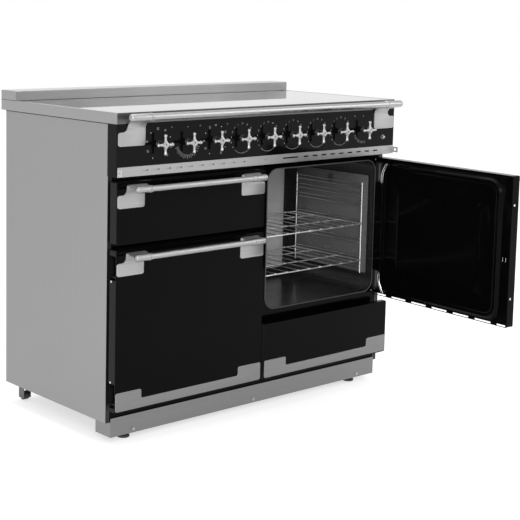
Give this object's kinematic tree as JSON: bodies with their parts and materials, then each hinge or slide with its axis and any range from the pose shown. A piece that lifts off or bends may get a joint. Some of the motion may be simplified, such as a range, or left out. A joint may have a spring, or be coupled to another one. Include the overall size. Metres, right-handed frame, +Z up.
{
  "type": "range cooker",
  "caption": "Free-standing range cooker with hob, two ovens, a grill and a storage drawer; the tall right oven stands open to its wire racks.",
  "frame": {"origin": "on the floor, at the middle of the width, in the plane of the closed door faces", "axes": "+X to the right across the front, +Y to the back, +Z up; the front faces -Y"},
  "size_m": [1.1283, 1.0594, 0.9331],
  "materials": {
    "side_enamel": "satin grey sheet",
    "brushed_steel": "fine brushed",
    "satin_trim": "satin, softly polished edges",
    "polished_bar": "polished bar with satin sleeves",
    "black_enamel": "gloss black enamel",
    "hob_ceramic": "opaque black ceramic glass, polished",
    "cavity_enamel": "gloss vitreous enamel with fine speckle",
    "zinc_sheet": "zinc-coated sheet",
    "chrome_wire": "bright plated wire",
    "knob_metal": "bright cast metal",
    "gasket_rubber": "woven seal, matt",
    "lens_blue": "clear tinted lens",
    "lamp_glass": "clear moulded glass",
    "roller_plastic": "matt black",
    "screw_steel": "turned",
    "heater_sheath": "heat-darkened sheath"
  },
  "bodies": {
    "root": {"side_panel_left": "side_enamel", "side_panel_right": "side_enamel", "rear_panel": "zinc_sheet", "chassis_frame": "zinc_sheet", "plinth": "brushed_steel", "case_screws": "screw_steel", "front_feet": "screw_steel", "roller_forks": "zinc_sheet", "hob_frame": "brushed_steel", "hob_glass": "hob_ceramic", "upstand": "brushed_steel", "control_panel": "black_enamel", "indicator_lenses": "lens_blue", "handrail": "polished_bar", "handrail_brackets": "satin_trim", "vent_trim": "brushed_steel", "front_frame": "black_enamel", "right_cavity": "cavity_enamel", "left_cavity": "cavity_enamel", "grill_cavity": "cavity_enamel", "opening_gaskets": "gasket_rubber", "side_liners": "cavity_enamel", "oven_lamp": "lamp_glass", "fan_cover": "cavity_enamel", "ladder_supports": "chrome_wire", "upper_rack": "chrome_wire", "lower_rack": "chrome_wire", "grill_element": "heater_sheath", "grill_pan": "cavity_enamel", "hinge_brackets": "screw_steel"},
    "right_oven_door": {"right_door_skin": "black_enamel", "right_door_liner": "cavity_enamel", "right_door_handle": "polished_bar", "right_door_brackets": "satin_trim", "right_door_hinges": "screw_steel"},
    "left_oven_door": {"left_door_skin": "black_enamel", "left_door_liner": "cavity_enamel", "left_door_handle": "polished_bar", "left_door_brackets": "satin_trim", "left_door_hinges": "screw_steel", "left_door_trim": "satin_trim"},
    "grill_door": {"grill_door_skin": "black_enamel", "grill_door_liner": "cavity_enamel", "grill_door_handle": "polished_bar", "grill_door_brackets": "satin_trim"},
    "storage_drawer": {"drawer_front": "black_enamel", "drawer_box": "zinc_sheet", "drawer_trim": "satin_trim"},
    "push_button": {"push_button": "knob_metal"},
    "rear_roller_left": {"roller_left": "roller_plastic"},
    "rear_roller_right": {"roller_right": "roller_plastic"},
    "knob_1": {"knob_1": "knob_metal"},
    "knob_2": {"knob_2": "knob_metal"},
    "knob_3": {"knob_3": "knob_metal"},
    "knob_4": {"knob_4": "knob_metal"},
    "knob_5": {"knob_5": "knob_metal"},
    "knob_6": {"knob_6": "knob_metal"},
    "knob_7": {"knob_7": "knob_metal"},
    "knob_8": {"knob_8": "knob_metal"},
    "knob_9": {"knob_9": "knob_metal"}
  },
  "joints": [
    {"name": "right_oven_door_hinge", "type": "hinge", "parent": "root", "child": "right_oven_door", "pos_m": [0.519, 0.014, 0.503], "axis": [0, 0, 1], "range_deg": [-87, 13]},
    {"name": "left_oven_door_hinge", "type": "hinge", "parent": "root", "child": "left_oven_door", "pos_m": [-0.5235, 0.014, 0.319], "axis": [0, 0, -1], "range_deg": [0, 100]},
    {"name": "grill_door_hinge", "type": "hinge", "parent": "root", "child": "grill_door", "pos_m": [-0.276, 0.014, 0.567], "axis": [1, 0, 0], "range_deg": [0, 90]},
    {"name": "storage_drawer_slide", "type": "slide", "parent": "root", "child": "storage_drawer", "axis": [0, -1, 0], "range_m": [0, 0.35]},
    {"name": "push_button_press", "type": "slide", "parent": "root", "child": "push_button", "axis": [0, 1, 0], "range_m": [0, 0.003], "stiffness_N_per_m": 300},
    {"name": "rear_roller_left_spin", "type": "hinge", "parent": "root", "child": "rear_roller_left", "pos_m": [-0.486, 0.521, 0.013], "axis": [1, 0, 0], "continuous": true},
    {"name": "rear_roller_right_spin", "type": "hinge", "parent": "root", "child": "rear_roller_right", "pos_m": [0.486, 0.521, 0.013], "axis": [1, 0, 0], "continuous": true},
    {"name": "knob_1_turn", "type": "hinge", "parent": "root", "child": "knob_1", "pos_m": [-0.4028, -0.026, 0.816], "axis": [0, 1, 0], "range_deg": [0, 315]},
    {"name": "knob_2_turn", "type": "hinge", "parent": "root", "child": "knob_2", "pos_m": [-0.3021, -0.026, 0.816], "axis": [0, 1, 0], "range_deg": [0, 255]},
    {"name": "knob_3_turn", "type": "hinge", "parent": "root", "child": "knob_3", "pos_m": [-0.2014, -0.026, 0.816], "axis": [0, 1, 0], "range_deg": [0, 300]},
    {"name": "knob_4_turn", "type": "hinge", "parent": "root", "child": "knob_4", "pos_m": [-0.1007, -0.026, 0.816], "axis": [0, 1, 0], "range_deg": [0, 285]},
    {"name": "knob_5_turn", "type": "hinge", "parent": "root", "child": "knob_5", "pos_m": [0, -0.026, 0.816], "axis": [0, 1, 0], "range_deg": [0, 285]},
    {"name": "knob_6_turn", "type": "hinge", "parent": "root", "child": "knob_6", "pos_m": [0.1007, -0.026, 0.816], "axis": [0, 1, 0], "range_deg": [0, 285]},
    {"name": "knob_7_turn", "type": "hinge", "parent": "root", "child": "knob_7", "pos_m": [0.2014, -0.026, 0.816], "axis": [0, 1, 0], "range_deg": [0, 285]},
    {"name": "knob_8_turn", "type": "hinge", "parent": "root", "child": "knob_8", "pos_m": [0.3021, -0.026, 0.816], "axis": [0, 1, 0], "range_deg": [0, 285]},
    {"name": "knob_9_turn", "type": "hinge", "parent": "root", "child": "knob_9", "pos_m": [0.4028, -0.026, 0.816], "axis": [0, 1, 0], "range_deg": [0, 255]}
  ]
}
